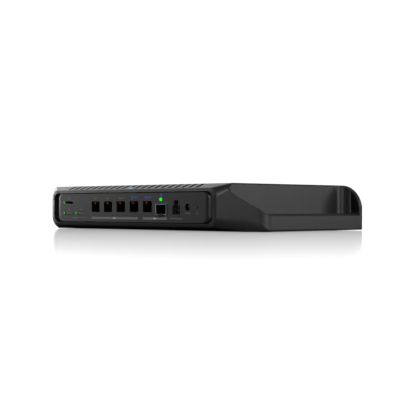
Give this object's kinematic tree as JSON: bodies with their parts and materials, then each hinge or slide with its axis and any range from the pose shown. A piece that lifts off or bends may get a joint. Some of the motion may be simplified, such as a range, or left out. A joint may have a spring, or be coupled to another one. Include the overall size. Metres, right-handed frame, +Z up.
{
  "type": "firewall appliance",
  "caption": "Low desktop firewall appliance: dark finned metal housing with flared front, side wings, inset port panel with network, module, card and power sockets.",
  "frame": {"origin": "centre of the bounding box's underside, on the floor under the middle of the housing", "axes": "+X to the right seen from the ports, +Y from the ports to the rear panel, +Z up"},
  "size_m": [0.3, 0.168, 0.0435],
  "materials": {
    "painted_metal": "fine satin dark grey paint",
    "port_panel": "matt dark grey",
    "black_plastic": "matt black",
    "rubber": "matt",
    "bright_steel": "plain",
    "aluminium": "satin",
    "gold": "plated",
    "circuit_board": "solder mask",
    "green_lens": "clear lens",
    "blue_lens": "clear lens"
  },
  "bodies": {
    "chassis": {"top_housing": "painted_metal", "base_cover": "painted_metal", "front_panel": "port_panel", "panel_seal": "rubber", "rear_panel": "black_plastic", "main_board": "circuit_board", "sfp_cage": "bright_steel", "power_header": "black_plastic", "dc_jack": "black_plastic", "dc_jack_pin": "bright_steel", "reset_switch": "black_plastic", "microsd_socket": "black_plastic", "microsd_lamp": "green_lens", "sim_lamp_1": "green_lens", "sim_lamp_2": "green_lens", "port_lamp": "green_lens", "sfp_lamp": "green_lens", "status_light": "blue_lens", "heat_sink": "aluminium", "processor": "black_plastic", "memory_chip_1": "black_plastic", "memory_chip_2": "black_plastic", "cellular_module": "aluminium", "antenna_left": "gold", "antenna_right": "gold", "rj45_jack_1": "black_plastic", "rj45_jack_2": "black_plastic", "rj45_jack_3": "black_plastic", "rj45_jack_4": "black_plastic", "rj45_jack_5": "black_plastic", "power_pin_1": "gold", "foot_1": "rubber", "cover_screw_1": "bright_steel", "board_screw_1": "bright_steel", "rear_screw_1": "bright_steel", "power_pin_2": "gold", "foot_2": "rubber", "cover_screw_2": "bright_steel", "board_screw_2": "bright_steel", "rear_screw_2": "bright_steel", "power_pin_3": "gold", "foot_3": "rubber", "cover_screw_3": "bright_steel", "board_screw_3": "bright_steel", "rear_screw_3": "bright_steel", "power_pin_4": "gold", "foot_4": "rubber", "cover_screw_4": "bright_steel", "board_screw_4": "bright_steel", "rear_screw_4": "bright_steel", "sim_socket_1": "black_plastic", "sim_socket_2": "black_plastic"},
    "sim_tray_1": {"sim_tray_1": "port_panel"},
    "sim_tray_2": {"sim_tray_2": "port_panel"},
    "reset_button": {"reset_button": "rubber"},
    "sfp_latch": {"sfp_latch": "black_plastic"}
  },
  "joints": [
    {"name": "sim_tray_1_slide", "type": "slide", "parent": "chassis", "child": "sim_tray_1", "axis": [0, -1, 0], "range_m": [0, 0.014]},
    {"name": "sim_tray_2_slide", "type": "slide", "parent": "chassis", "child": "sim_tray_2", "axis": [0, -1, 0], "range_m": [0, 0.014]},
    {"name": "reset_press", "type": "slide", "parent": "chassis", "child": "reset_button", "axis": [0, 1, 0], "range_m": [0, 0.0008], "stiffness_N_per_m": 800, "springref_m": -0.0004},
    {"name": "module_latch_flex", "type": "hinge", "parent": "chassis", "child": "sfp_latch", "pos_m": [0.04675, -0.07, 0.014], "axis": [1, 0, 0], "range_deg": [0, 2], "stiffness_Nm_per_rad": 0.05}
  ]
}
